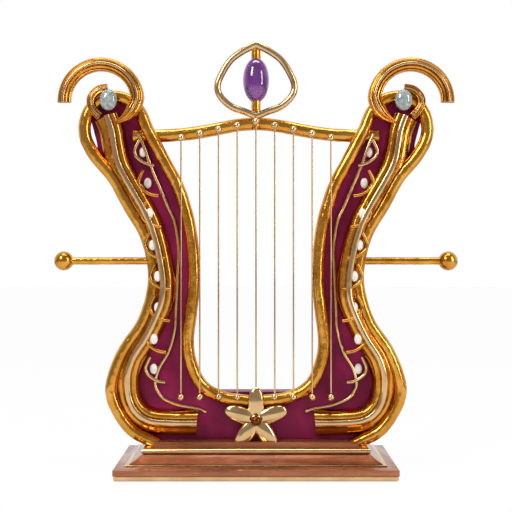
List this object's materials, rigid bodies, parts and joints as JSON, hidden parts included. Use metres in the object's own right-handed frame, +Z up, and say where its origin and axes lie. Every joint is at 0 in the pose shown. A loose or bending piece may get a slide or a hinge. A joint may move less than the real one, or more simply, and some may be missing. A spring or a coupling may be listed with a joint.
{
  "type": "lyre-harp",
  "caption": "Ornamental table-top lyre-harp with scrolled arms, turning tuning pins, strings and a moulded base.",
  "frame": {"origin": "middle of the base's underside", "axes": "+Z up, -Y toward the viewer (the strings' side), +X to the viewer's right"},
  "size_m": [0.419, 0.132, 0.4482],
  "materials": {
    "hammered_gold": "hammered",
    "polished_gold": "polished",
    "crimson_lacquer": "lacquered",
    "copper_wood": "polished",
    "copper": "polished copper",
    "pearl": "satin pearl",
    "opal": "polished stone",
    "amethyst": "polished stone"
  },
  "bodies": {
    "harp_body": {"back_panel": "crimson_lacquer", "base_bead": "polished_gold", "base_block": "copper_wood", "base_fillet": "polished_gold", "base_foot_band": "polished_gold", "big_scroll_left": "hammered_gold", "big_scroll_right": "hammered_gold", "crest_loop": "polished_gold", "crest_spindle": "hammered_gold", "crossbar": "hammered_gold", "flower": "polished_gold", "flower_centre": "copper", "frame_tube_left": "hammered_gold", "frame_tube_right": "hammered_gold", "hitch_rail": "polished_gold", "opal_left": "opal", "opal_right": "opal", "pearl_left_1": "pearl", "pearl_left_2": "pearl", "pearl_left_3": "pearl", "pearl_left_4": "pearl", "pearl_left_5": "pearl", "pearl_left_6": "pearl", "pearl_left_7": "pearl", "pearl_left_8": "pearl", "pearl_right_1": "pearl", "pearl_right_2": "pearl", "pearl_right_3": "pearl", "pearl_right_4": "pearl", "pearl_right_5": "pearl", "pearl_right_6": "pearl", "pearl_right_7": "pearl", "pearl_right_8": "pearl", "scroll_band_left": "hammered_gold", "scroll_band_right": "hammered_gold", "side_rod_left": "hammered_gold", "side_rod_right": "hammered_gold", "small_scroll_left": "hammered_gold", "small_scroll_right": "hammered_gold", "string_1": "polished_gold", "string_2": "polished_gold", "string_3": "polished_gold", "string_4": "polished_gold", "string_5": "polished_gold", "string_6": "polished_gold", "string_7": "polished_gold", "string_8": "polished_gold", "string_9": "polished_gold", "vine_left": "polished_gold", "vine_right": "polished_gold"},
    "pin_1": {"tuning_pin_1": "polished_gold"},
    "pin_2": {"tuning_pin_2": "polished_gold"},
    "pin_3": {"tuning_pin_3": "polished_gold"},
    "pin_4": {"tuning_pin_4": "polished_gold"},
    "pin_5": {"tuning_pin_5": "polished_gold"},
    "pin_6": {"tuning_pin_6": "polished_gold"},
    "pin_7": {"tuning_pin_7": "polished_gold"},
    "pin_8": {"tuning_pin_8": "polished_gold"},
    "pin_9": {"tuning_pin_9": "polished_gold"},
    "gem_body": {"gem": "amethyst"}
  },
  "joints": [
    {"name": "tuning_pin_1", "type": "hinge", "parent": "harp_body", "child": "pin_1", "pos_m": [-0.0772, -0.0258, 0.3455], "axis": [0, 0.9561, 0.2932], "continuous": true},
    {"name": "tuning_pin_2", "type": "hinge", "parent": "harp_body", "child": "pin_2", "pos_m": [-0.0579, -0.0258, 0.3497], "axis": [0, 0.978, 0.2087], "continuous": true},
    {"name": "tuning_pin_3", "type": "hinge", "parent": "harp_body", "child": "pin_3", "pos_m": [-0.0386, -0.0258, 0.3539], "axis": [0, 0.9838, 0.1794], "continuous": true},
    {"name": "tuning_pin_4", "type": "hinge", "parent": "harp_body", "child": "pin_4", "pos_m": [-0.0193, -0.0258, 0.3581], "axis": [0, 0.99, 0.1409], "continuous": true},
    {"name": "tuning_pin_5", "type": "hinge", "parent": "harp_body", "child": "pin_5", "pos_m": [0, -0.0258, 0.3623], "axis": [0, 0.9999, -0.0112], "continuous": true},
    {"name": "tuning_pin_6", "type": "hinge", "parent": "harp_body", "child": "pin_6", "pos_m": [0.0193, -0.0258, 0.3581], "axis": [0, 0.99, 0.1409], "continuous": true},
    {"name": "tuning_pin_7", "type": "hinge", "parent": "harp_body", "child": "pin_7", "pos_m": [0.0386, -0.0258, 0.3539], "axis": [0, 0.9838, 0.1794], "continuous": true},
    {"name": "tuning_pin_8", "type": "hinge", "parent": "harp_body", "child": "pin_8", "pos_m": [0.0579, -0.0258, 0.3497], "axis": [0, 0.978, 0.2087], "continuous": true},
    {"name": "tuning_pin_9", "type": "hinge", "parent": "harp_body", "child": "pin_9", "pos_m": [0.0772, -0.0258, 0.3455], "axis": [0, 0.9561, 0.2932], "continuous": true},
    {"name": "gem_spin", "type": "hinge", "parent": "harp_body", "child": "gem_body", "pos_m": [0, -0.011, 0.4073], "axis": [0, 0, 1], "continuous": true}
  ]
}
